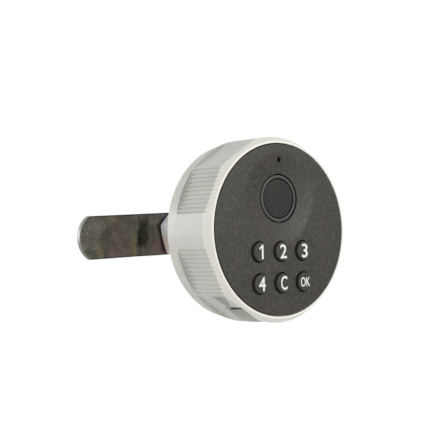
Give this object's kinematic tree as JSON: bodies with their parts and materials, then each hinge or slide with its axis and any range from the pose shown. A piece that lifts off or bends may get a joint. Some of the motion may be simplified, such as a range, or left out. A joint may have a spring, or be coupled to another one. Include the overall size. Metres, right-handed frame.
{
  "type": "cam lock",
  "caption": "Round fingerprint and keypad cam lock with a turning grip housing, threaded barrel, nut and cranked cam.",
  "frame": {"origin": "on the lock's axis in the door's outer face, where the base's rear rim seats", "axes": "+Y into the door along the lock's axis, +Z towards 12 o'clock on the front, the cam points to -X at rest"},
  "size_m": [0.0772, 0.064, 0.0652],
  "materials": {
    "housing": "light grey, satin",
    "base": "light grey, satin",
    "plate": "black, finely grained",
    "key": "black, satin",
    "sensor": "black, coated",
    "bezel": "black, semi-gloss",
    "lens": "smoked, clear",
    "rubber": "matte",
    "board": "green lacquer",
    "flex": "amber film",
    "chip": "black, moulded",
    "tray": "black, moulded",
    "steel": "bright",
    "cell": "bright",
    "brass": "plain",
    "copper": "wound wire",
    "zinc": "plated",
    "cam": "dark passivated plating"
  },
  "bodies": {
    "mount": {"base_plate": "base", "barrel": "zinc", "mounting_nut": "zinc", "barrel_screw_1": "steel", "barrel_screw_2": "steel", "barrel_screw_3": "steel", "retaining_ring": "steel"},
    "knob": {"knob_shell": "housing", "front_plate": "plate", "sensor_bezel": "bezel", "fingerprint_sensor": "sensor", "sensor_board": "board", "sensor_flex": "flex", "indicator_lens": "lens", "keypad_mat": "rubber", "main_board": "board", "control_chip": "chip", "buzzer": "chip", "power_socket": "steel", "battery_carrier": "tray", "coin_cell_left": "cell", "coin_cell_right": "cell", "cell_contact_left": "brass", "cell_contact_right": "brass", "solenoid_frame": "steel", "solenoid_coil": "copper", "return_spring": "steel", "board_screw_1": "steel", "board_screw_2": "steel", "board_screw_3": "steel"},
    "spindle": {"spindle": "zinc", "cam": "cam", "cam_washer": "zinc", "cam_screw": "steel"},
    "clutch_plunger": {"clutch_plunger": "steel"},
    "key_1": {"key_1": "key"},
    "key_2": {"key_2": "key"},
    "key_3": {"key_3": "key"},
    "key_4": {"key_4": "key"},
    "key_clear": {"key_clear": "key"},
    "key_ok": {"key_ok": "key"}
  },
  "joints": [
    {"name": "knob_turn", "type": "hinge", "parent": "mount", "child": "knob", "pos_m": [0, 0, 0], "axis": [0, 1, 0], "range_deg": [0, 90]},
    {"name": "spindle_turn", "type": "hinge", "parent": "mount", "child": "spindle", "pos_m": [0, 0, 0], "axis": [0, 1, 0], "range_deg": [0, 90]},
    {"name": "clutch_slide", "type": "slide", "parent": "knob", "child": "clutch_plunger", "axis": [0, -1, 0], "range_m": [0, 0.0022], "stiffness_N_per_m": 100, "springref_m": -0.002, "deforming": ["return_spring"]},
    {"name": "key_1_press", "type": "slide", "parent": "knob", "child": "key_1", "axis": [0, 1, 0], "range_m": [0, 0.0008], "stiffness_N_per_m": 200, "springref_m": -0.001},
    {"name": "key_2_press", "type": "slide", "parent": "knob", "child": "key_2", "axis": [0, 1, 0], "range_m": [0, 0.0008], "stiffness_N_per_m": 200, "springref_m": -0.001},
    {"name": "key_3_press", "type": "slide", "parent": "knob", "child": "key_3", "axis": [0, 1, 0], "range_m": [0, 0.0008], "stiffness_N_per_m": 200, "springref_m": -0.001},
    {"name": "key_4_press", "type": "slide", "parent": "knob", "child": "key_4", "axis": [0, 1, 0], "range_m": [0, 0.0008], "stiffness_N_per_m": 200, "springref_m": -0.001},
    {"name": "key_clear_press", "type": "slide", "parent": "knob", "child": "key_clear", "axis": [0, 1, 0], "range_m": [0, 0.0008], "stiffness_N_per_m": 200, "springref_m": -0.001},
    {"name": "key_ok_press", "type": "slide", "parent": "knob", "child": "key_ok", "axis": [0, 1, 0], "range_m": [0, 0.0008], "stiffness_N_per_m": 200, "springref_m": -0.001}
  ],
  "couplings": [
    {"joint": "spindle_turn", "follows": "knob_turn", "ratio": 1}
  ]
}
